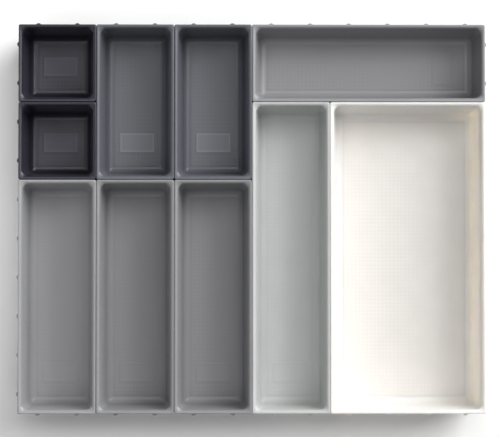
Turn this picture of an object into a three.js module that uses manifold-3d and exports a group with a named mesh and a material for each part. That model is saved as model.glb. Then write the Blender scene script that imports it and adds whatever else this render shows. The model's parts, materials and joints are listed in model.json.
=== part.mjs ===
// A modular drawer organizer insert: ten open trays on a square grid, standing rim to rim.
// Units are millimetres. +X runs along the long side, +Y to the rear of the drawer, +Z up.
// The origin is on the drawer floor, under the centre of the whole set.
import * as THREE from 'three';
import { mergeVertices } from 'three/addons/utils/BufferGeometryUtils.js';
import Module from 'manifold-3d';

const wasm = await Module();
wasm.setup();

// The grid that every tray is a multiple of
const MODULE = 76.2;
const COLUMNS = 6;
const ROWS = 5;
const SEAM = 0.4; // gap between the rims of two neighbours
const EDGE = SEAM / 2; // how far each tray stands in from its cell

// Heights above the drawer floor
const HEIGHT = 50.8;
const FOOT_HEIGHT = 1.2;
const FLOOR_THICKNESS = 2.2;
const FLOOR_TOP = FOOT_HEIGHT + FLOOR_THICKNESS;

// The rim: a tight outer edge, a narrow flat and a wide roll down into the tray,
// over a lip that hangs down outside the wall
const RIM_WIDTH = 3.8;
const RIM_EDGE = 0.9;
const RIM_ROLL = 2.8;
const RIM_ROLL_DROP = 3.2;
const RIM_SPRING = HEIGHT - RIM_ROLL_DROP; // where the roll meets the wall
const RIM_THICKNESS = 3.6;
const LIP_DEPTH = 14;
const LIP_THICKNESS = 1.3;
const LIP_CHAMFER = 0.4;

// The walls: drafted, so that the floor is smaller than the mouth
const WALL = 1.8;
const FLOOR_INSET = 8.8; // where the inner wall would meet the floor
const FLOOR_FILLET = 5.8; // between wall and floor, inside
const BASE_ROUNDING = 6.5; // between wall and underside, outside

// Corner radii in plan
const RIM_CORNER_OUTSIDE = 1.8;
const RIM_CORNER_INSIDE = 6.5;
const WALL_FOOT_CORNER = 5;
const FLOOR_CORNER = 0.8;
const LIP_CORNER_INSIDE = 0.6;

// The soft mat on each floor
const LINER_INSET = 15.24;
const LINER_THICKNESS = 0.6;
const LINER_CORNER = 1.2;

// The non-slip feet, four to a tray
const FOOT_RADIUS = 4.5;
const FOOT_INSET = 19.5;
const FOOT_SIDES = 10;

// The domed nubs on the lip, two to a module on every outer side of the set
const NUB_RADIUS = 2.9;
const NUB_PROUD = 2.1;
const NUB_ROOT = 0.6; // how far the nub is sunk into the lip
const NUB_DROP = 8.5; // from the top of the rim down to the nub's centre
const NUB_SIDES = 8;
const NUB_RINGS = 2;
const NUB_PLACES = [0.25, 0.75]; // along each module

// Smoothness of the curved stretches
const CORNER_STEPS = 3;
const EDGE_STEPS = 2;
const ROLL_STEPS = 3;
const FILLET_STEPS = 3;

const FINISHES = {
  black: { color: 0x2b2b31, roughness: 0.45, metalness: 0 },
  dark_grey: { color: 0x55585b, roughness: 0.45, metalness: 0 },
  mid_grey: { color: 0x8c8e93, roughness: 0.45, metalness: 0 },
  light_grey: { color: 0xbfc4c1, roughness: 0.45, metalness: 0 },
  white: { color: 0xecebe6, roughness: 0.4, metalness: 0 },
  foot: { color: 0x3a3a3c, roughness: 0.85, metalness: 0 },
};

// Every tray: its first cell (column from the left, row from the rear) and its size in modules
const TRAYS = [
  { name: 'square_rear', column: 0, row: 0, wide: 1, deep: 1, finish: 'black' },
  { name: 'square_front', column: 0, row: 1, wide: 1, deep: 1, finish: 'black' },
  { name: 'double_left', column: 1, row: 0, wide: 1, deep: 2, finish: 'dark_grey' },
  { name: 'double_right', column: 2, row: 0, wide: 1, deep: 2, finish: 'dark_grey' },
  { name: 'cross', column: 3, row: 0, wide: 3, deep: 1, finish: 'mid_grey' },
  { name: 'triple_left', column: 0, row: 2, wide: 1, deep: 3, finish: 'mid_grey' },
  { name: 'triple_middle', column: 1, row: 2, wide: 1, deep: 3, finish: 'mid_grey' },
  { name: 'triple_right', column: 2, row: 2, wide: 1, deep: 3, finish: 'mid_grey' },
  { name: 'long', column: 3, row: 1, wide: 1, deep: 4, finish: 'light_grey' },
  { name: 'wide', column: 4, row: 1, wide: 2, deep: 4, finish: 'white' },
];

const lerp = THREE.MathUtils.lerp;

// The points of a rounded rectangle, anticlockwise seen from above
function roundedRectangle(width, depth, radius, steps) {
  const points = [];
  const corners = [[1, 1], [-1, 1], [-1, -1], [1, -1]];
  corners.forEach(([sideX, sideY], corner) => {
    const centreX = sideX * (width / 2 - radius);
    const centreY = sideY * (depth / 2 - radius);
    for (let step = 0; step <= steps; step += 1) {
      const angle = (corner + step / steps) * Math.PI / 2;
      points.push(new THREE.Vector2(
        centreX + radius * Math.cos(angle),
        centreY + radius * Math.sin(angle),
      ));
    }
  });
  return points;
}

// An arc in the section plane, from one angle to another, as {inset, z} points
function sectionArc(inset, z, radiusInset, radiusZ, from, to, steps) {
  const points = [];
  for (let step = 0; step <= steps; step += 1) {
    const angle = lerp(from, to, step / steps);
    points.push({
      inset: inset + radiusInset * Math.cos(angle),
      z: z + radiusZ * Math.sin(angle),
    });
  }
  return points;
}

// The tray's skin in section, from the underside out, up, over the rim and down to the floor.
// inset is measured in from the cell's edge, and radius is the corner radius at that level.
function traySection() {
  const rimInside = EDGE + RIM_WIDTH;
  const wallHeight = RIM_SPRING - FLOOR_TOP;
  const draft = Math.atan((FLOOR_INSET - rimInside) / wallHeight);
  const innerFace = (z) => rimInside + (RIM_SPRING - z) * Math.tan(draft);
  const outerFace = (z) => innerFace(z) - WALL / Math.cos(draft);
  const wallCorner = (z) => (
    lerp(WALL_FOOT_CORNER, RIM_CORNER_INSIDE, (z - FLOOR_TOP) / wallHeight)
  );

  // A rounding between a level plane and a wall face turns by less than a right angle
  const turn = Math.PI / 2 - draft;
  const reach = (radius) => radius * Math.tan(turn / 2);

  const underside = outerFace(FOOT_HEIGHT) + reach(BASE_ROUNDING);
  const base = sectionArc(underside, FOOT_HEIGHT + BASE_ROUNDING,
    BASE_ROUNDING, BASE_ROUNDING, -Math.PI / 2, -Math.PI / 2 - turn, FILLET_STEPS)
    .map((point, step) => ({
      ...point,
      radius: lerp(FLOOR_CORNER, WALL_FOOT_CORNER, step / FILLET_STEPS) + WALL,
    }));

  const underRim = HEIGHT - RIM_THICKNESS;
  const lipInside = EDGE + LIP_THICKNESS;
  const lipBottom = HEIGHT - LIP_DEPTH;
  const lip = [
    { inset: outerFace(underRim), z: underRim, radius: wallCorner(underRim) + WALL },
    { inset: lipInside, z: underRim, radius: LIP_CORNER_INSIDE },
    { inset: lipInside, z: lipBottom, radius: LIP_CORNER_INSIDE },
    { inset: EDGE + LIP_CHAMFER, z: lipBottom, radius: RIM_CORNER_OUTSIDE - LIP_CHAMFER },
    { inset: EDGE, z: lipBottom + LIP_CHAMFER, radius: RIM_CORNER_OUTSIDE },
  ];

  const edge = sectionArc(EDGE + RIM_EDGE, HEIGHT - RIM_EDGE,
    RIM_EDGE, RIM_EDGE, Math.PI, Math.PI / 2, EDGE_STEPS)
    .map((point) => ({ ...point, radius: RIM_CORNER_OUTSIDE }));
  const roll = sectionArc(rimInside - RIM_ROLL, RIM_SPRING,
    RIM_ROLL, RIM_ROLL_DROP, Math.PI / 2, 0, ROLL_STEPS)
    .map((point, step) => ({
      ...point,
      radius: lerp(RIM_CORNER_OUTSIDE, RIM_CORNER_INSIDE, (step + 1) / (ROLL_STEPS + 1)),
    }));

  const floorEdge = innerFace(FLOOR_TOP) + reach(FLOOR_FILLET);
  const fillet = sectionArc(floorEdge, FLOOR_TOP + FLOOR_FILLET,
    FLOOR_FILLET, FLOOR_FILLET, -Math.PI / 2 - turn, -Math.PI / 2, FILLET_STEPS)
    .map((point, step) => ({
      ...point,
      radius: lerp(WALL_FOOT_CORNER, FLOOR_CORNER, step / FILLET_STEPS),
    }));

  return [...base, ...lip, ...edge, ...roll, ...fillet];
}

// A closed skin through a stack of rings with the same number of points, capped flat at both ends
function loft(rings) {
  const count = rings[0].length;
  const positions = rings.flat().flatMap((point) => [point.x, point.y, point.z]);
  const indices = [];
  for (let ring = 0; ring + 1 < rings.length; ring += 1) {
    for (let side = 0; side < count; side += 1) {
      const a = ring * count + side;
      const b = ring * count + (side + 1) % count;
      indices.push(a, b, b + count, a, b + count, a + count);
    }
  }
  const last = (rings.length - 1) * count;
  for (let side = 1; side + 1 < count; side += 1) {
    indices.push(0, side + 1, side);
    indices.push(last, last + side, last + side + 1);
  }
  const geometry = new THREE.BufferGeometry();
  geometry.setAttribute('position', new THREE.Float32BufferAttribute(positions, 3));
  geometry.setIndex(indices);
  return geometry;
}

function toSolid(geometry) {
  geometry.deleteAttribute('normal');
  geometry.deleteAttribute('uv');
  const merged = mergeVertices(geometry);
  return new wasm.Manifold(new wasm.Mesh({
    numProp: 3,
    vertProperties: new Float32Array(merged.attributes.position.array),
    triVerts: new Uint32Array(merged.index.array),
  }));
}

function toGeometry(solid) {
  const mesh = solid.getMesh();
  const geometry = new THREE.BufferGeometry();
  geometry.setAttribute('position', new THREE.BufferAttribute(mesh.vertProperties, 3));
  geometry.setIndex(new THREE.BufferAttribute(mesh.triVerts, 1));
  return geometry;
}

// One nub: a shallow dome about +Y, its base plane at y = 0
function nubGeometry() {
  const sphere = (NUB_RADIUS ** 2 + NUB_PROUD ** 2) / (2 * NUB_PROUD);
  const halfAngle = Math.asin(NUB_RADIUS / sphere);
  const profile = [new THREE.Vector2(0, -NUB_ROOT), new THREE.Vector2(NUB_RADIUS, -NUB_ROOT)];
  for (let ring = 0; ring < NUB_RINGS; ring += 1) {
    const angle = halfAngle * (1 - ring / NUB_RINGS);
    profile.push(new THREE.Vector2(
      sphere * Math.sin(angle),
      sphere * Math.cos(angle) - sphere + NUB_PROUD,
    ));
  }
  profile.push(new THREE.Vector2(0, NUB_PROUD));
  return new THREE.LatheGeometry(profile, NUB_SIDES);
}

// The sides of a tray that face out of the set, each with its outward direction and its length
function outerSides(tray) {
  const sides = [
    { x: 0, y: 1, modules: tray.wide, outer: tray.row === 0 },
    { x: 0, y: -1, modules: tray.wide, outer: tray.row + tray.deep === ROWS },
    { x: -1, y: 0, modules: tray.deep, outer: tray.column === 0 },
    { x: 1, y: 0, modules: tray.deep, outer: tray.column + tray.wide === COLUMNS },
  ];
  return sides.filter((side) => side.outer);
}

// The nubs of one tray, in the tray's own frame
function nubsOf(tray) {
  const nubs = [];
  for (const side of outerSides(tray)) {
    for (let module = 0; module < side.modules; module += 1) {
      for (const place of NUB_PLACES) {
        const along = (module + place - side.modules / 2) * MODULE;
        const out = (side.y === 0 ? tray.wide : tray.deep) * MODULE / 2 - EDGE;
        const nub = nubGeometry();
        nub.rotateZ(Math.atan2(-side.x, side.y));
        nub.translate(
          side.x * out + Math.abs(side.y) * along,
          side.y * out + Math.abs(side.x) * along,
          HEIGHT - NUB_DROP,
        );
        nubs.push(nub);
      }
    }
  }
  return nubs;
}

function trayGeometry(tray) {
  const rings = traySection().map(({ inset, z, radius }) => (
    roundedRectangle(tray.wide * MODULE - 2 * inset, tray.deep * MODULE - 2 * inset,
      radius, CORNER_STEPS)
      .map((point) => new THREE.Vector3(point.x, point.y, z))
  ));
  let solid = toSolid(loft(rings));
  for (const nub of nubsOf(tray)) {
    solid = solid.add(toSolid(nub));
  }
  return toGeometry(solid);
}

function linerGeometry(tray) {
  const outline = new THREE.Shape(roundedRectangle(
    tray.wide * MODULE - 2 * LINER_INSET,
    tray.deep * MODULE - 2 * LINER_INSET,
    LINER_CORNER,
    CORNER_STEPS,
  ));
  const geometry = new THREE.ExtrudeGeometry(outline, {
    depth: LINER_THICKNESS,
    bevelEnabled: false,
  });
  return geometry.translate(0, 0, FLOOR_TOP);
}

function footGeometry() {
  const geometry = new THREE.CylinderGeometry(FOOT_RADIUS, FOOT_RADIUS, FOOT_HEIGHT, FOOT_SIDES);
  return geometry.rotateX(Math.PI / 2).translate(0, 0, FOOT_HEIGHT / 2);
}

function namedMesh(name, geometry, finish) {
  const mesh = new THREE.Mesh(geometry, new THREE.MeshStandardMaterial(FINISHES[finish]));
  mesh.name = name;
  return mesh;
}

// One tray with its liner and its feet, standing on its own cells of the grid
function trayAssembly(tray) {
  const group = new THREE.Group();
  group.position.set(
    (tray.column + tray.wide / 2 - COLUMNS / 2) * MODULE,
    (ROWS / 2 - tray.row - tray.deep / 2) * MODULE,
    0,
  );
  group.add(namedMesh(`${tray.name}_tray`, trayGeometry(tray), tray.finish));
  group.add(namedMesh(`${tray.name}_liner`, linerGeometry(tray), tray.finish));
  [[-1, -1], [1, -1], [1, 1], [-1, 1]].forEach(([sideX, sideY], index) => {
    const foot = namedMesh(`${tray.name}_foot_${index + 1}`, footGeometry(), 'foot');
    foot.position.set(
      sideX * (tray.wide * MODULE / 2 - FOOT_INSET),
      sideY * (tray.deep * MODULE / 2 - FOOT_INSET),
      0,
    );
    group.add(foot);
  });
  return group;
}

const organizer = new THREE.Group();
for (const tray of TRAYS) {
  organizer.add(trayAssembly(tray));
}

export default organizer;
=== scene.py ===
"""A modular drawer organizer: ten moulded trays, rim to rim, with gridded floor mats and rubber feet."""

import json
import math

import bpy
import bmesh
from mathutils import Matrix, Vector


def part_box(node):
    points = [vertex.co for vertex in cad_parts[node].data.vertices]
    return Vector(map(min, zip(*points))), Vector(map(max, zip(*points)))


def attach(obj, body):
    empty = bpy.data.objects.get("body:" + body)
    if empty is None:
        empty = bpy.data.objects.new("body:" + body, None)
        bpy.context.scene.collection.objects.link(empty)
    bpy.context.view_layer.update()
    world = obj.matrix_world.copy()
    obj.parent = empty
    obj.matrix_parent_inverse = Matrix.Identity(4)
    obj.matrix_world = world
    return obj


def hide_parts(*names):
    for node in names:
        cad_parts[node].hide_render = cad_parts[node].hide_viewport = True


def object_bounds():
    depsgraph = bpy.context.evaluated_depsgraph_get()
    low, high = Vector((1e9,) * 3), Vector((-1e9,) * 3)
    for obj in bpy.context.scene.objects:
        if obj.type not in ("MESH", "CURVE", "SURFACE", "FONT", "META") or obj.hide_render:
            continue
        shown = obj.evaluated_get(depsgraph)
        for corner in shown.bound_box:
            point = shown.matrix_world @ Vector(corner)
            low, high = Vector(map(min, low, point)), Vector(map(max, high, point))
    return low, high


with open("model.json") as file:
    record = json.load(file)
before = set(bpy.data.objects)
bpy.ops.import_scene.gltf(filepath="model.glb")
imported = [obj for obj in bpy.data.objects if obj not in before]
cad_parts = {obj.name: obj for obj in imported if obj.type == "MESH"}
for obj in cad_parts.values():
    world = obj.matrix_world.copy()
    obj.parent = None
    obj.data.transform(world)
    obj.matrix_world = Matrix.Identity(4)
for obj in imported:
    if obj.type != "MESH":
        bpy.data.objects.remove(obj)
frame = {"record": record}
cad_low, cad_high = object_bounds()

# ---------------------------------------------------------------- dimensions, in metres
MM = 0.001
MODULE = 76.2 * MM
EDGE = 0.12 * MM  # each tray stands in from its cell by this much
HEIGHT = cad_high.z
FOOT_HEIGHT = 1.2 * MM

RIM_WIDTH = 3.8 * MM
RIM_EDGE = 0.9 * MM
RIM_ROLL = 2.8 * MM
RIM_ROLL_DROP = 3.2 * MM
RIM_THICKNESS = 3.6 * MM
LIP_DEPTH = 14 * MM
LIP_THICKNESS = 1.3 * MM
LIP_EDGE = 0.4 * MM

WALL = 1.8 * MM
FLOOR_INSET = 8.8 * MM
FLOOR_FILLET = 6.8 * MM
BASE_ROUNDING = 6.5 * MM

RIM_CORNER_OUTSIDE = 1.8 * MM
RIM_CORNER_INSIDE = 6.5 * MM
WALL_FOOT_CORNER = 5 * MM
FLOOR_CORNER = 0.8 * MM
LIP_CORNER_INSIDE = 0.6 * MM

LINER_INSET = 15.24 * MM
LINER_CORNER = 1.2 * MM
LINER_FIELD = 0.18 * MM  # how far the gridded field stands above the tray's floor
LINER_BEVEL = 0.6 * MM
LINER_EDGE = 0.05 * MM  # height left at the foot of the bevel
GRID_PITCH = 3.81 * MM
GROOVE_WIDTH = 0.6 * MM
GROOVE_DEPTH = 0.045 * MM
PLATE_LENGTH = 34 * MM
PLATE_WIDTH = 19 * MM
PLATE_FROM_MIDDLE = 1 * MM  # how far the plate sits to the rear of its module's centre
PLATE_BORDER = 1.6 * MM  # width of the raised border round the plate
PLATE_RISE = 0.11 * MM  # of the border above the field
PLATE_FACE = 0.06 * MM  # of the blank face above the field
PLATE_BEVEL = 0.3 * MM
SAME_LINE = 0.001 * MM  # mesh lines of the mat closer than this are one line
WELD = 1e-7  # mesh points closer than this are one point

NUB_RADIUS = 2.9 * MM
NUB_PROUD = 2.1 * MM
NUB_PRESSED = 0.06 * MM  # what stands out of a nub that a neighbour presses back
NUB_ROOT = 0.6 * MM
NUB_DROP = 8.5 * MM  # of its centre below the rim
NUB_PLACES = (0.25, 0.75)  # along each module

FOOT_EDGE = 0.4 * MM  # radius of the pad's soft edge
FOOT_DISH = 0.15 * MM  # how far the middle of the sole is dished
FOOT_DISH_RIM = 0.55  # where the dish ends, as a share of the pad's radius
FOOT_DISH_FLAT = 0.75  # where its flat ends, as a share of the dish's

SUPPORT = 0.25 * MM  # spacing of the loops that keep flat faces flat beside a rounding

CORNER_STEPS = 8
EDGE_STEPS = 4
ROLL_STEPS = 10
FILLET_STEPS = 9
LIP_EDGE_STEPS = 3
NUB_RINGS = 8
NUB_SIDES = 24
FOOT_SIDES = 32
SHARP_ANGLE = math.radians(38)


def lerp(a, b, t):
    return a + (b - a) * t


# ---------------------------------------------------------------- mesh helpers
def new_object(name, verts, faces):
    mesh = bpy.data.meshes.new(name)
    mesh.from_pydata(verts, [], faces)
    obj = bpy.data.objects.new(name, mesh)
    bpy.context.scene.collection.objects.link(obj)
    return obj


def finish_mesh(obj):
    """Outward normals, smooth faces, and sharp edges where two faces meet at a clear angle."""
    bm = bmesh.new()
    bm.from_mesh(obj.data)
    bmesh.ops.remove_doubles(bm, verts=bm.verts, dist=WELD)
    bmesh.ops.dissolve_degenerate(bm, edges=bm.edges, dist=WELD)
    bmesh.ops.recalc_face_normals(bm, faces=bm.faces)
    for face in bm.faces:
        face.smooth = True
    for edge in bm.edges:
        edge.smooth = len(edge.link_faces) == 2 and edge.calc_face_angle(0) < SHARP_ANGLE
    bm.to_mesh(obj.data)
    bm.free()


def rounded_rectangle(centre, width, depth, radius, z):
    """The points of a level rounded rectangle, anticlockwise seen from above."""
    points = []
    for corner, (side_x, side_y) in enumerate(((1, 1), (-1, 1), (-1, -1), (1, -1))):
        centre_x = centre[0] + side_x * (width / 2 - radius)
        centre_y = centre[1] + side_y * (depth / 2 - radius)
        for step in range(CORNER_STEPS + 1):
            angle = (corner + step / CORNER_STEPS) * math.pi / 2
            points.append((
                centre_x + radius * math.cos(angle),
                centre_y + radius * math.sin(angle),
                z,
            ))
    return points


def loft(name, rings):
    """A closed skin through a stack of rings, capped flat at both ends."""
    count = len(rings[0])
    verts = [point for ring in rings for point in ring]
    faces = [tuple(reversed(range(count)))]
    for ring in range(len(rings) - 1):
        for side in range(count):
            a = ring * count + side
            b = ring * count + (side + 1) % count
            faces.append((a, b, b + count, a + count))
    last = (len(rings) - 1) * count
    faces.append(tuple(range(last, last + count)))
    return new_object(name, verts, faces)


def lathe(name, profile, steps, place):
    """A solid of revolution about its own +Z; profile runs from the axis to the axis.

    place turns a local point into a point of the object.
    """
    verts, faces = [place(0, 0, profile[0][1])], []
    for radius, z in profile[1:-1]:
        for step in range(steps):
            angle = 2 * math.pi * step / steps
            verts.append(place(radius * math.cos(angle), radius * math.sin(angle), z))
    verts.append(place(0, 0, profile[-1][1]))
    top = len(verts) - 1
    for step in range(steps):
        following = (step + 1) % steps
        faces.append((0, 1 + following, 1 + step))
        for ring in range(len(profile) - 3):
            a = 1 + ring * steps + step
            b = 1 + ring * steps + following
            faces.append((a, b, b + steps, a + steps))
        base = 1 + (len(profile) - 3) * steps
        faces.append((base + step, base + following, top))
    return new_object(name, verts, faces)


def section_arc(inset, z, radius_inset, radius_z, start, end, steps):
    """Points along an arc of an ellipse in a section, centred on (inset, z)."""
    points = []
    for step in range(steps + 1):
        angle = lerp(start, end, step / steps)
        points.append((inset + radius_inset * math.cos(angle), z + radius_z * math.sin(angle)))
    return points


# ---------------------------------------------------------------- trays
class Tray:
    """One tray's place in the frame, read from its mat and its shell."""

    def __init__(self, name):
        self.name = name
        self.shell_node = f"{name}_tray"
        self.liner_node = f"{name}_liner"
        low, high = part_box(self.liner_node)
        self.floor_top = low.z
        self.low = Vector((low.x - LINER_INSET, low.y - LINER_INSET))
        self.high = Vector((high.x + LINER_INSET, high.y + LINER_INSET))
        self.centre = (self.low + self.high) / 2
        self.size = self.high - self.low
        self.wide = round(self.size.x / MODULE)
        self.deep = round(self.size.y / MODULE)
        shell_low, shell_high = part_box(self.shell_node)
        self.outer = {
            (0, 1): shell_high.y > self.high.y,
            (0, -1): shell_low.y < self.low.y,
            (1, 0): shell_high.x > self.high.x,
            (-1, 0): shell_low.x < self.low.x,
        }


def tray_section(floor_top):
    """The tray's skin as (inset, z, corner radius), from the underside up, over the rim and down."""
    rim_inside = EDGE + RIM_WIDTH
    rim_spring = HEIGHT - RIM_ROLL_DROP
    wall_height = rim_spring - floor_top
    draft = math.atan((FLOOR_INSET - rim_inside) / wall_height)
    turn = math.pi / 2 - draft

    def inner_face(z):
        return rim_inside + (rim_spring - z) * math.tan(draft)

    def outer_face(z):
        return inner_face(z) - WALL / math.cos(draft)

    def wall_corner(z):
        return lerp(WALL_FOOT_CORNER, RIM_CORNER_INSIDE, (z - floor_top) / wall_height)

    section = []

    # underside and outer wall
    underside = outer_face(FOOT_HEIGHT) + BASE_ROUNDING * math.tan(turn / 2)
    section.append((underside + SUPPORT, FOOT_HEIGHT, FLOOR_CORNER + WALL))
    base = section_arc(underside, FOOT_HEIGHT + BASE_ROUNDING, BASE_ROUNDING, BASE_ROUNDING,
                       -math.pi / 2, -math.pi / 2 - turn, FILLET_STEPS)
    for step, (inset, z) in enumerate(base):
        radius = lerp(FLOOR_CORNER, WALL_FOOT_CORNER, step / FILLET_STEPS) + WALL
        section.append((inset, z, radius))
    under_rim = HEIGHT - RIM_THICKNESS
    for z in (base[-1][1] + SUPPORT, under_rim - SUPPORT, under_rim):
        section.append((outer_face(z), z, wall_corner(z) + WALL))

    # the lip that hangs outside the wall
    lip_inside = EDGE + LIP_THICKNESS
    lip_bottom = HEIGHT - LIP_DEPTH
    for z in (under_rim, under_rim - SUPPORT, lip_bottom + LIP_EDGE + SUPPORT):
        section.append((lip_inside, z, LIP_CORNER_INSIDE))
    lip_middle = (lip_inside + EDGE) / 2
    half = (lip_inside - EDGE) / 2
    for inset, z in section_arc(lip_middle, lip_bottom + LIP_EDGE, half, LIP_EDGE,
                                0, -math.pi, 2 * LIP_EDGE_STEPS):
        radius = lerp(RIM_CORNER_OUTSIDE, LIP_CORNER_INSIDE, (inset - EDGE) / LIP_THICKNESS)
        section.append((inset, z, radius))
    for z in (lip_bottom + LIP_EDGE + SUPPORT, HEIGHT - RIM_EDGE - SUPPORT):
        section.append((EDGE, z, RIM_CORNER_OUTSIDE))

    # over the rim
    for inset, z in section_arc(EDGE + RIM_EDGE, HEIGHT - RIM_EDGE, RIM_EDGE, RIM_EDGE,
                                math.pi, math.pi / 2, EDGE_STEPS):
        section.append((inset, z, RIM_CORNER_OUTSIDE))
    roll = section_arc(rim_inside - RIM_ROLL, rim_spring, RIM_ROLL, RIM_ROLL_DROP,
                       math.pi / 2, 0, ROLL_STEPS)
    for inset, z in roll:
        across = (inset - EDGE - RIM_EDGE) / (RIM_WIDTH - RIM_EDGE)
        section.append((inset, z, lerp(RIM_CORNER_OUTSIDE, RIM_CORNER_INSIDE, across)))

    # down the inner wall and out on to the floor
    floor_edge = inner_face(floor_top) + FLOOR_FILLET * math.tan(turn / 2)
    fillet = section_arc(floor_edge, floor_top + FLOOR_FILLET, FLOOR_FILLET, FLOOR_FILLET,
                         -math.pi / 2 - turn, -math.pi / 2, FILLET_STEPS)
    for z in (rim_spring - SUPPORT, fillet[0][1] + SUPPORT):
        section.append((inner_face(z), z, wall_corner(z)))
    for step, (inset, z) in enumerate(fillet):
        section.append((inset, z, lerp(WALL_FOOT_CORNER, FLOOR_CORNER, step / FILLET_STEPS)))
    section.append((floor_edge + SUPPORT, floor_top, FLOOR_CORNER))
    return section


def nub_profile(proud):
    """A shallow dome of the nub's radius, with a root that sinks into the lip."""
    sphere = (NUB_RADIUS ** 2 + proud ** 2) / (2 * proud)
    half_angle = math.asin(NUB_RADIUS / sphere)
    profile = [(0, -NUB_ROOT), (NUB_RADIUS, -NUB_ROOT)]
    for ring in range(NUB_RINGS):
        angle = half_angle * (1 - ring / NUB_RINGS)
        profile.append((sphere * math.sin(angle), sphere * math.cos(angle) - sphere + proud))
    profile.append((0, proud))
    return profile


def make_nubs(tray):
    """All the tray's nubs: proud on the outer sides of the set, pressed back beside a neighbour."""
    nubs = []
    for (side_x, side_y), outer in tray.outer.items():
        modules = tray.deep if side_x else tray.wide
        profile = nub_profile(NUB_PROUD if outer else NUB_PRESSED)
        for module in range(modules):
            for place in NUB_PLACES:
                along = (module + place - modules / 2) * MODULE
                out = (tray.size.x if side_x else tray.size.y) / 2 - EDGE
                base = Vector((
                    tray.centre.x + side_x * out + abs(side_y) * along,
                    tray.centre.y + side_y * out + abs(side_x) * along,
                    HEIGHT - NUB_DROP,
                ))
                outward = Vector((side_x, side_y, 0))
                across = Vector((-side_y, side_x, 0))

                def place_point(x, y, z, base=base, outward=outward, across=across):
                    return base + across * x + Vector((0, 0, 1)) * y + outward * z

                nubs.append(lathe("nub", profile, NUB_SIDES, place_point))
    return nubs


def join_solids(body, others):
    """Adds the other closed meshes to body with an exact boolean, and removes them."""
    for other in others:
        finish_mesh(other)
    cutter = others[0]
    with bpy.context.temp_override(active_object=cutter, selected_editable_objects=others):
        bpy.ops.object.join()
    union = body.modifiers.new("nubs", "BOOLEAN")
    union.operation = "UNION"
    union.solver = "EXACT"
    union.object = cutter
    evaluated = body.evaluated_get(bpy.context.evaluated_depsgraph_get())
    mesh = bpy.data.meshes.new_from_object(evaluated)
    body.modifiers.clear()
    body.data = mesh
    bpy.data.objects.remove(cutter)


def make_shell(tray):
    rings = [
        rounded_rectangle(tray.centre, tray.size.x - 2 * inset, tray.size.y - 2 * inset, radius, z)
        for inset, z, radius in tray_section(tray.floor_top)
    ]
    shell = loft(f"{tray.name}_shell", rings)
    finish_mesh(shell)
    join_solids(shell, make_nubs(tray))
    finish_mesh(shell)
    return shell


# ---------------------------------------------------------------- floor mats
def plate_box(tray):
    """The blank plate on the mat: centred on the tray's front module, across its length."""
    if tray.wide > 1 and tray.deep > 1:
        return None
    lengthwise = tray.wide > tray.deep
    centre = tray.centre.copy()
    if lengthwise:
        centre.x = tray.high.x - MODULE / 2
    else:
        centre.y = tray.low.y + MODULE / 2 + PLATE_FROM_MIDDLE
    half_x = (PLATE_WIDTH if lengthwise else PLATE_LENGTH) / 2
    half_y = (PLATE_LENGTH if lengthwise else PLATE_WIDTH) / 2
    return (centre.x - half_x, centre.x + half_x), (centre.y - half_y, centre.y + half_y)


def grid_lines(low, high, plate_span):
    """The mat's mesh lines along one axis, and where its grooves run."""
    count = round((high - low) / GRID_PITCH)
    grooves = [low + line * (high - low) / count for line in range(1, count)]
    values = {low, low + LINER_BEVEL, high - LINER_BEVEL, high}
    for groove in grooves:
        values.update((groove - GROOVE_WIDTH / 2, groove, groove + GROOVE_WIDTH / 2))
    if plate_span:
        for inset in (0, PLATE_BEVEL, PLATE_BORDER, PLATE_BORDER + PLATE_BEVEL):
            values.update((plate_span[0] + inset, plate_span[1] - inset))
    lines = []
    for value in sorted(values):
        if not lines or value - lines[-1] > SAME_LINE:
            lines.append(value)
    return lines, grooves


def groove_depth(value, grooves):
    nearest = min(abs(value - groove) for groove in grooves)
    return GROOVE_DEPTH * max(0.0, 1 - nearest / (GROOVE_WIDTH / 2))


def plate_height(x, y, plate):
    """How far the plate stands above the mat's field at a point: border, face, or None beside it."""
    inset = min(x - plate[0][0], plate[0][1] - x, y - plate[1][0], plate[1][1] - y)
    if inset < PLATE_BEVEL - SAME_LINE:
        return None
    return PLATE_RISE if inset < PLATE_BORDER + PLATE_BEVEL / 2 else PLATE_FACE


def make_liner(tray):
    low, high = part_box(tray.liner_node)
    plate = plate_box(tray)
    lines_x, grooves_x = grid_lines(low.x, high.x, plate and plate[0])
    lines_y, grooves_y = grid_lines(low.y, high.y, plate and plate[1])
    depths_x = [groove_depth(x, grooves_x) for x in lines_x]
    depths_y = [groove_depth(y, grooves_y) for y in lines_y]
    field = tray.floor_top + LINER_FIELD

    verts = []
    for y, depth_y in zip(lines_y, depths_y):
        for x, depth_x in zip(lines_x, depths_x):
            rise = plate_height(x, y, plate) if plate else None
            z = field - max(depth_x, depth_y) if rise is None else field + rise
            if x in (lines_x[0], lines_x[-1]) or y in (lines_y[0], lines_y[-1]):
                z = tray.floor_top + LINER_EDGE
            verts.append(round_corner(x, y, z, low, high))
    columns, rows = len(lines_x), len(lines_y)
    faces = []
    for row in range(rows - 1):
        for column in range(columns - 1):
            a = row * columns + column
            faces.append((a, a + 1, a + 1 + columns, a + columns))

    # the side wall and the underside
    edge = list(range(columns))
    edge += [row * columns + columns - 1 for row in range(1, rows)]
    edge += [(rows - 1) * columns + column for column in range(columns - 2, -1, -1)]
    edge += [row * columns for row in range(rows - 2, 0, -1)]
    first = len(verts)
    for index in edge:
        x, y, _ = verts[index]
        verts.append((x, y, tray.floor_top))
    for side, index in enumerate(edge):
        following = (side + 1) % len(edge)
        faces.append((index, first + side, first + following, edge[following]))
    faces.append(tuple(first + side for side in range(len(edge) - 1, -1, -1)))
    liner = new_object(f"{tray.name}_mat", verts, faces)
    finish_mesh(liner)
    return liner


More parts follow.
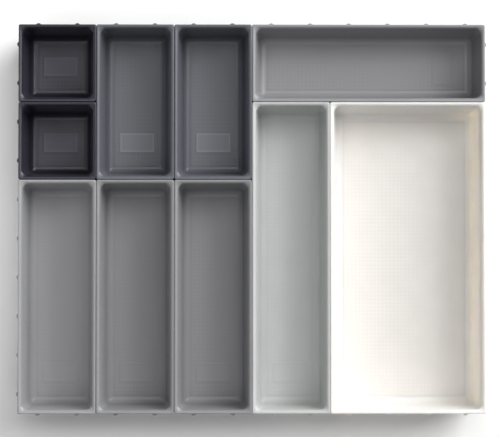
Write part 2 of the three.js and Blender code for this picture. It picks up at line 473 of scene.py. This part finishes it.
def round_corner(x, y, z, low, high):
    """Pulls a point in towards the mat's rounded corner."""
    centre_x = min(max(x, low.x + LINER_CORNER), high.x - LINER_CORNER)
    centre_y = min(max(y, low.y + LINER_CORNER), high.y - LINER_CORNER)
    away = math.hypot(x - centre_x, y - centre_y)
    if away > LINER_CORNER:
        x = centre_x + (x - centre_x) * LINER_CORNER / away
        y = centre_y + (y - centre_y) * LINER_CORNER / away
    return (x, y, z)


# ---------------------------------------------------------------- feet
def make_foot(node):
    """A round rubber pad with a soft edge and a shallow dished sole."""
    low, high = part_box(node)
    centre = (low + high) / 2
    radius = (high.y - low.y) / 2
    height = high.z - low.z
    dish = radius * FOOT_DISH_RIM
    profile = [(0, FOOT_DISH), (dish * FOOT_DISH_FLAT, FOOT_DISH), (dish, 0)]
    profile += section_arc(radius - FOOT_EDGE, FOOT_EDGE, FOOT_EDGE, FOOT_EDGE,
                           -math.pi / 2, 0, EDGE_STEPS)
    profile += [(radius, height), (0, height)]

    def place(x, y, z):
        return (centre.x + x, centre.y + y, low.z + z)

    foot = lathe(f"{node}_pad", profile, FOOT_SIDES, place)
    finish_mesh(foot)
    return foot


# ---------------------------------------------------------------- materials
COLOUR_A, COLOUR_B, COLOUR_RESULT = 6, 7, 2  # the sockets of a Mix node that carry colours


def node_material(name):
    """A material with its nodes and links, its main shader, and the object's own coordinates."""
    material = bpy.data.materials.new(name)
    material.use_nodes = True
    nodes = material.node_tree.nodes
    shader = next(node for node in nodes if node.type == "BSDF_PRINCIPLED")
    coordinates = nodes.new("ShaderNodeTexCoord")
    return material, nodes, material.node_tree.links, shader, coordinates.outputs["Object"]


def noise(nodes, links, coordinates, scale, detail):
    node = nodes.new("ShaderNodeTexNoise")
    node.inputs["Scale"].default_value = scale
    node.inputs["Detail"].default_value = detail
    links.new(coordinates, node.inputs["Vector"])
    return node.outputs["Fac"]


def ramp(nodes, links, value, low, high, start=0.35, end=0.65):
    """Turns the values from start to end into low to high, and holds the rest at either end."""
    node = nodes.new("ShaderNodeMapRange")
    node.inputs["From Min"].default_value = start
    node.inputs["From Max"].default_value = end
    node.inputs["To Min"].default_value = low
    node.inputs["To Max"].default_value = high
    links.new(value, node.inputs["Value"])
    return node.outputs["Result"]


def mix_colour(nodes, links, factor, first, second):
    node = nodes.new("ShaderNodeMix")
    node.data_type = "RGBA"
    links.new(factor, node.inputs["Factor"])
    for socket, colour in ((COLOUR_A, first), (COLOUR_B, second)):
        if isinstance(colour, tuple):
            node.inputs[socket].default_value = (*colour, 1)
        else:
            links.new(colour, node.inputs[socket])
    return node.outputs[COLOUR_RESULT]


def bump(nodes, links, height, strength, distance, under=None):
    node = nodes.new("ShaderNodeBump")
    node.inputs["Strength"].default_value = strength
    node.inputs["Distance"].default_value = distance
    links.new(height, node.inputs["Height"])
    if under is not None:
        links.new(under, node.inputs["Normal"])
    return node.outputs["Normal"]


def scaled(colour, factor):
    return tuple(min(1.0, channel * factor) for channel in colour)


def mottled(nodes, links, value, colour, spread):
    """The colour, a little darker or lighter from place to place."""
    return mix_colour(nodes, links, ramp(nodes, links, value, 0, 1),
                      scaled(colour, 1 - spread), scaled(colour, 1 + spread))


def shell_plastic(name, colour, roughness, glow):
    """Satin moulded polypropylene: a fine spark-eroded grain, slow flow marks and scuffed edges."""
    material, nodes, links, shader, coordinates = node_material(name)
    flow = noise(nodes, links, coordinates, scale=22, detail=3)
    grain = noise(nodes, links, coordinates, scale=3200, detail=2)
    scuffs = noise(nodes, links, coordinates, scale=420, detail=4)

    body = mottled(nodes, links, flow, colour, spread=0.02)
    geometry = nodes.new("ShaderNodeNewGeometry")
    edges = ramp(nodes, links, geometry.outputs["Pointiness"], low=0, high=1, start=0.52, end=0.6)
    worn = nodes.new("ShaderNodeMath")
    worn.operation = "MULTIPLY"
    links.new(edges, worn.inputs[0])
    links.new(ramp(nodes, links, scuffs, low=0, high=0.35, start=0.45, end=0.7), worn.inputs[1])
    paler = tuple(lerp(channel, WORN_TONE, WORN_SHARE) for channel in colour)
    links.new(mix_colour(nodes, links, worn.outputs[0], body, paler), shader.inputs["Base Color"])

    links.new(ramp(nodes, links, scuffs, low=roughness - 0.04, high=roughness + 0.05),
              shader.inputs["Roughness"])
    soft = bump(nodes, links, flow, strength=0.15, distance=0.4 * MM)
    links.new(bump(nodes, links, grain, strength=0.12, distance=0.04 * MM, under=soft),
              shader.inputs["Normal"])
    shader.inputs["IOR"].default_value = POLYPROPYLENE_IOR
    if glow:
        weight, spread = glow
        shader.inputs["Subsurface Weight"].default_value = weight
        shader.inputs["Subsurface Radius"].default_value = GLOW_TINT
        shader.inputs["Subsurface Scale"].default_value = spread
    shader.inputs["Specular IOR Level"].default_value = SPECULAR
    return material


def mat_rubber(name, colour, plate_lettering_and_sheen, field):
    """Soft-touch mat: matt, with a fine stipple, and a lighter plate above the field, partly standing
    for its lettering and partly a painted reflection off its polished face.
    """
    material, nodes, links, shader, coordinates = node_material(name)
    blotch = noise(nodes, links, coordinates, scale=45, detail=4)
    stipple = noise(nodes, links, coordinates, scale=2400, detail=2)
    body = mottled(nodes, links, blotch, colour, spread=0.015)
    split = nodes.new("ShaderNodeSeparateXYZ")
    links.new(coordinates, split.inputs["Vector"])
    # Painted reflection, partly the plate's lettering: the colour turns lighter the higher the plate
    # stands, most on its raised border
    lettering_and_sheen_mask = ramp(nodes, links, split.outputs["Z"], low=0, high=1,
                  start=field + PLATE_SHEEN_FROM, end=field + PLATE_RISE)
    links.new(mix_colour(nodes, links, lettering_and_sheen_mask, body, scaled(colour, plate_lettering_and_sheen)),
              shader.inputs["Base Color"])
    links.new(ramp(nodes, links, blotch, low=0.54, high=0.62), shader.inputs["Roughness"])
    links.new(bump(nodes, links, stipple, strength=0.25, distance=0.06 * MM),
              shader.inputs["Normal"])
    shader.inputs["Specular IOR Level"].default_value = SPECULAR
    return material


def foot_rubber(name):
    """Dark matt rubber with a little dust on it."""
    material, nodes, links, shader, coordinates = node_material(name)
    dust = noise(nodes, links, coordinates, scale=600, detail=5)
    links.new(mix_colour(nodes, links, ramp(nodes, links, dust, 0, 1), *FOOT_COLOURS),
              shader.inputs["Base Color"])
    links.new(ramp(nodes, links, dust, low=0.75, high=0.9), shader.inputs["Roughness"])
    links.new(bump(nodes, links, dust, strength=0.3, distance=0.1 * MM), shader.inputs["Normal"])
    return material


# Linear colours of the plastics, and of the mats that lie in them; the black and dark grey mats carry
# painted reflection as well
SHELL_COLOURS = {
    "black": (0.0200, 0.0180, 0.0300),
    "dark_grey": (0.113, 0.117, 0.138),
    "mid_grey": (0.275, 0.275, 0.285),
    # a lighter copy of mid_grey: painted light for the triple_left tray
    "mid_grey_pale": (0.336, 0.336, 0.347),
    "light_grey": (0.550, 0.563, 0.556),
    "white": (0.905, 0.870, 0.830),
}
MAT_COLOURS_AND_SHEEN = {
    # lighter than the black shell: partly the mat's own tone, partly painted reflection from the boxes
    # overhead
    "black": (0.068, 0.065, 0.086),
    # lighter than the dark grey shell: partly the mat's own tone, partly painted reflection from the
    # boxes overhead
    "dark_grey": (0.164, 0.168, 0.187),
    "mid_grey": (0.275, 0.275, 0.285),
    # the lighter copy's mat: painted light for the triple_left tray
    "mid_grey_pale": (0.350, 0.350, 0.362),
    "light_grey": (0.550, 0.563, 0.556),
    "white": (0.798, 0.772, 0.738),
}

# The rubber of the feet, bare and dusty
FOOT_COLOURS = ((0.030, 0.030, 0.032), (0.055, 0.055, 0.056))

# How much lighter or darker the blank plate is than its mat: partly the tone of its lettering, partly a
# painted reflection off its polished face
PLATE_LETTERING_AND_SHEEN = {
    "black": 1.55,
    "dark_grey": 1.5,
    "mid_grey": 1.01,
    "mid_grey_pale": 1.01,
    "light_grey": 0.97,
    "white": 1.0,
}

# A tray in a lighter copy of its grey, as painted light for the extra light that falls into it: the
# general name, and the lit copy's
PAINTED_LIT_COPIES = {"triple_left": ("mid_grey", "mid_grey_pale")}

# How much light the paler plastics let through, and how far it spreads in them
GLOW = {"white": (0.78, 3.8 * MM), "light_grey": (0.15, 3 * MM)}
GLOW_TINT = (1.0, 0.8, 0.58)
SHELL_ROUGHNESS = 0.36
POLYPROPYLENE_IOR = 1.49
SPECULAR = 0.6
WORN_TONE = 0.9  # the grey that a scuffed edge turns towards
WORN_SHARE = 0.18  # how far it turns
PLATE_SHEEN_FROM = 0.02 * MM  # height above the field where the plate's painted reflection begins


def make_materials(field):
    materials = {"foot_rubber": foot_rubber("foot_rubber")}
    for finish, colour in SHELL_COLOURS.items():
        shell, liner = f"{finish}_shell", f"{finish}_liner"
        materials[shell] = shell_plastic(shell, colour, SHELL_ROUGHNESS, GLOW.get(finish))
        materials[liner] = mat_rubber(liner, MAT_COLOURS_AND_SHEEN[finish], PLATE_LETTERING_AND_SHEEN[finish], field)
    return materials


# ---------------------------------------------------------------- stage, light and camera
STAGE_HALF = 3.0
STAGE_DROP = 0.2 * MM  # below the feet
STAGE_COLOURS = ((0.955, 0.955, 0.95), (0.965, 0.965, 0.96))
STAGE_ROUGHNESS = 0.9
STAGE_SPECULAR = 0.1
WORLD_STRENGTH = 0.02


def make_floor():
    corners = ((-1, -1), (1, -1), (1, 1), (-1, 1))
    floor = new_object("floor", [(x * STAGE_HALF, y * STAGE_HALF, 0) for x, y in corners],
                       [(0, 1, 2, 3)])
    floor.location.z = -STAGE_DROP
    material, nodes, links, shader, coordinates = node_material("floor")
    shade = noise(nodes, links, coordinates, scale=8, detail=2)
    links.new(mix_colour(nodes, links, ramp(nodes, links, shade, 0, 1), *STAGE_COLOURS),
              shader.inputs["Base Color"])
    shader.inputs["Roughness"].default_value = STAGE_ROUGHNESS
    shader.inputs["Specular IOR Level"].default_value = STAGE_SPECULAR
    floor.data.materials.append(material)


# Soft boxes to the right, above and in front, and low reflectors round the set:
# name, place, target, width and height, power
LIGHTS = (
    ("key", (1.98, 1.42, 1.42), (0, 0, 0), (2.4, 2.3), 107),
    ("rear_box", (0.15, 0.95, 2.5), (0, 0, 0), (2.2, 1.5), 23),
    ("front_fill", (-0.15, -1.0, 2.4), (0, 0, 0), (2.2, 1.3), 11),
    ("left_board", (-0.33, 0.04, 0.14), (-0.17, 0.04, 0.05), (0.46, 0.1), 0.155),
    ("front_board", (-0.03, -0.33, 0.13), (-0.03, -0.17, 0.03), (0.46, 0.1), 0.07),
    ("rear_board", (-0.15, 0.31, 0.13), (-0.15, 0.2, 0.03), (0.36, 0.1), 0.045),
)


def area_light(name, location, target, size, power):
    light = bpy.data.lights.new(name, "AREA")
    light.shape = "RECTANGLE"
    light.size, light.size_y = size
    light.energy = power
    obj = bpy.data.objects.new(name, light)
    obj.location = location
    obj.rotation_euler = (Vector(target) - Vector(location)).to_track_quat("-Z", "Y").to_euler()
    bpy.context.scene.collection.objects.link(obj)


def make_lights():
    for light in LIGHTS:
        area_light(*light)
    world = bpy.data.worlds.new("world")
    world.use_nodes = True
    background = world.node_tree.nodes["Background"]
    background.inputs["Color"].default_value = (1.0, 1.0, 1.0, 1)
    background.inputs["Strength"].default_value = WORLD_STRENGTH
    bpy.context.scene.world = world
    bpy.context.scene.view_settings.view_transform = "Standard"


# The camera looks almost straight down through a long lens, from a little left and front of centre
CAMERA_HEIGHT = 2.20  # above the rims
CAMERA_OFFSET = (-0.025, -0.072)
PICTURE_WIDTH = 0.4885  # what the picture's width covers at the level of the rims
AIM = (-0.0020, 0.0001)
SENSOR_WIDTH = 36  # in mm, as the lens is
NEAREST, FARTHEST = 0.05, 20  # what the camera can see


def make_camera():
    data = bpy.data.cameras.new("camera")
    camera = bpy.data.objects.new("camera", data)
    bpy.context.scene.collection.objects.link(camera)
    camera.location = (*CAMERA_OFFSET, HEIGHT + CAMERA_HEIGHT)
    target = Vector((*AIM, HEIGHT))
    towards = target - camera.location
    back = -towards.normalized()
    right = Vector((0, 1, 0)).cross(back).normalized()
    up = back.cross(right)
    camera.rotation_mode = "QUATERNION"
    camera.rotation_quaternion = Matrix((right, up, back)).transposed().to_quaternion()
    data.sensor_width = SENSOR_WIDTH
    data.lens = SENSOR_WIDTH * towards.length / PICTURE_WIDTH
    data.clip_start, data.clip_end = NEAREST, FARTHEST
    bpy.context.scene.camera = camera


# ---------------------------------------------------------------- build
make_camera()
make_lights()
make_floor()
trays = {body: Tray(body) for body in frame["record"]["behaviour"]["bodies"]}
materials = make_materials(trays["wide"].floor_top + LINER_FIELD)
slots = {part["node"]: part["material_slot"] for part in frame["record"]["subparts"]}


def dress(piece, body, node):
    """Rides the piece on its body in place of the CAD node, in that node's finish."""
    finish = slots[node]
    # The trays listed there take a lighter copy of their finish: painted light
    if body in PAINTED_LIT_COPIES:
        finish = finish.replace(*PAINTED_LIT_COPIES[body])
    piece.data.materials.clear()
    piece.data.materials.append(materials[finish])
    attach(piece, body)
    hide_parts(node)


for body, nodes in frame["record"]["behaviour"]["bodies"].items():
    tray = trays[body]
    dress(make_shell(tray), body, tray.shell_node)
    dress(make_liner(tray), body, tray.liner_node)
    for node in nodes:
        if "_foot_" in node:
            dress(make_foot(node), body, node)
